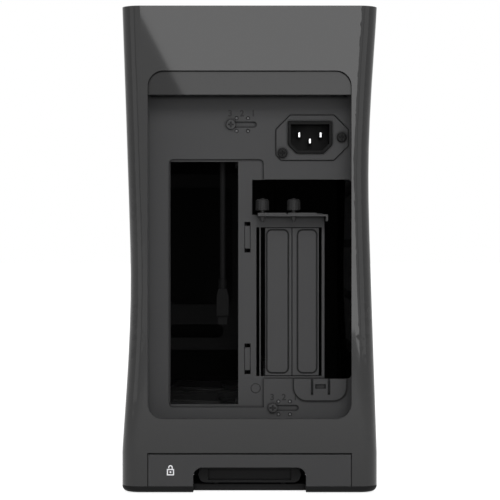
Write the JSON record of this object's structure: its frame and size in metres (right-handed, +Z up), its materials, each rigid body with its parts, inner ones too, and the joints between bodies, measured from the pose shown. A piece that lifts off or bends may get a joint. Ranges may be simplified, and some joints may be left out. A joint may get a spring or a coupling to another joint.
{
  "type": "mini-tower computer case",
  "caption": "Slim upright mini-tower computer case with a waisted lift-off shell, rear board aperture, slot covers, mains inlet and bottom fans.",
  "frame": {"origin": "centre of the footprint on the floor", "axes": "+Z up, rear panel faces -Y, front +Y, the expansion slots lie towards +X"},
  "size_m": [0.165, 0.366, 0.314],
  "materials": {
    "shell_coat": "fine matte dark grey coat over aluminium",
    "grille_coat": "matte dark grey coat over aluminium",
    "chassis_coat": "matte dark grey powder coat",
    "base_plastic": "fine textured dark grey plastic",
    "filter_plastic": "black moulded frame",
    "inlet_plastic": "black moulded plastic",
    "foot_rubber": "black rubber pads",
    "blade_metal": "bright plated blades",
    "screw_black": "black finished steel",
    "lead_sleeve": "dark sleeved lead",
    "grommet_rubber": "black rubber ring",
    "socket_plastic": "black moulded plastic",
    "port_steel": "pressed steel shells",
    "board_resin": "dark green board",
    "fan_plastic": "black moulded plastic",
    "button_plastic": "dark grey plastic"
  },
  "bodies": {
    "chassis": {"plinth": "base_plastic", "feet": "foot_rubber", "dust_filter": "filter_plastic", "base_frame": "base_plastic", "release_panel": "base_plastic", "front_panel": "base_plastic", "chassis_floor": "chassis_coat", "rear_panel": "chassis_coat", "front_plate": "chassis_coat", "top_frame": "chassis_coat", "rear_hood": "chassis_coat", "mains_inlet": "inlet_plastic", "inlet_bezel": "base_plastic", "inlet_blades": "blade_metal", "inlet_screws": "screw_black", "lock_bracket": "chassis_coat", "fan_frame_1": "fan_plastic", "fan_frame_2": "fan_plastic", "port_board": "board_resin", "wide_ports": "port_steel", "small_port": "port_steel", "audio_jack": "socket_plastic", "power_switch": "socket_plastic"},
    "shell": {"outer_shell": "shell_coat", "grille_left": "grille_coat", "grille_right": "grille_coat"},
    "lid": {"top_panel": "grille_coat"},
    "handle": {"release_handle": "base_plastic"},
    "spine": {"spine_plate": "chassis_coat", "spine_wall": "chassis_coat", "spine_post": "chassis_coat", "spine_rail_low": "chassis_coat", "spine_rail_high": "chassis_coat", "clamp_screws": "screw_black", "spine_rivet": "screw_black", "slot_cover_1": "chassis_coat", "slot_cover_2": "chassis_coat", "standoffs": "screw_black", "riser_bracket": "chassis_coat", "riser_socket": "socket_plastic", "supply_bracket": "chassis_coat", "front_lead": "lead_sleeve", "lead_plug": "socket_plastic", "lead_grommet": "grommet_rubber"},
    "screw_1": {"thumbscrew_1": "screw_black"},
    "screw_2": {"thumbscrew_2": "screw_black"},
    "rotor_1": {"fan_rotor_1": "fan_plastic"},
    "rotor_2": {"fan_rotor_2": "fan_plastic"},
    "button": {"power_button": "button_plastic"}
  },
  "joints": [
    {"name": "shell_lift", "type": "slide", "parent": "chassis", "child": "shell", "axis": [0, 0, 1], "range_m": [0, 0.3]},
    {"name": "lid_lift", "type": "slide", "parent": "shell", "child": "lid", "axis": [0, 0, 1], "range_m": [0, 0.05]},
    {"name": "handle_pull", "type": "slide", "parent": "chassis", "child": "handle", "axis": [0, -1, 0], "range_m": [0, 0.012]},
    {"name": "spine_shift", "type": "slide", "parent": "chassis", "child": "spine", "axis": [1, 0, 0], "range_m": [0, 0.015]},
    {"name": "screw_1_turn", "type": "hinge", "parent": "spine", "child": "screw_1", "pos_m": [0.0083, -0.1687, 0.1846], "axis": [0, 0, 1], "continuous": true},
    {"name": "screw_2_turn", "type": "hinge", "parent": "spine", "child": "screw_2", "pos_m": [0.02862, -0.1687, 0.1846], "axis": [0, 0, 1], "continuous": true},
    {"name": "fan_1_spin", "type": "hinge", "parent": "chassis", "child": "rotor_1", "pos_m": [0, -0.062, 0.04], "axis": [0, 0, 1], "continuous": true},
    {"name": "fan_2_spin", "type": "hinge", "parent": "chassis", "child": "rotor_2", "pos_m": [0, 0.062, 0.04], "axis": [0, 0, 1], "continuous": true},
    {"name": "power_press", "type": "slide", "parent": "chassis", "child": "button", "axis": [0, -1, 0], "range_m": [0, 0.001], "stiffness_N_per_m": 1500}
  ]
}
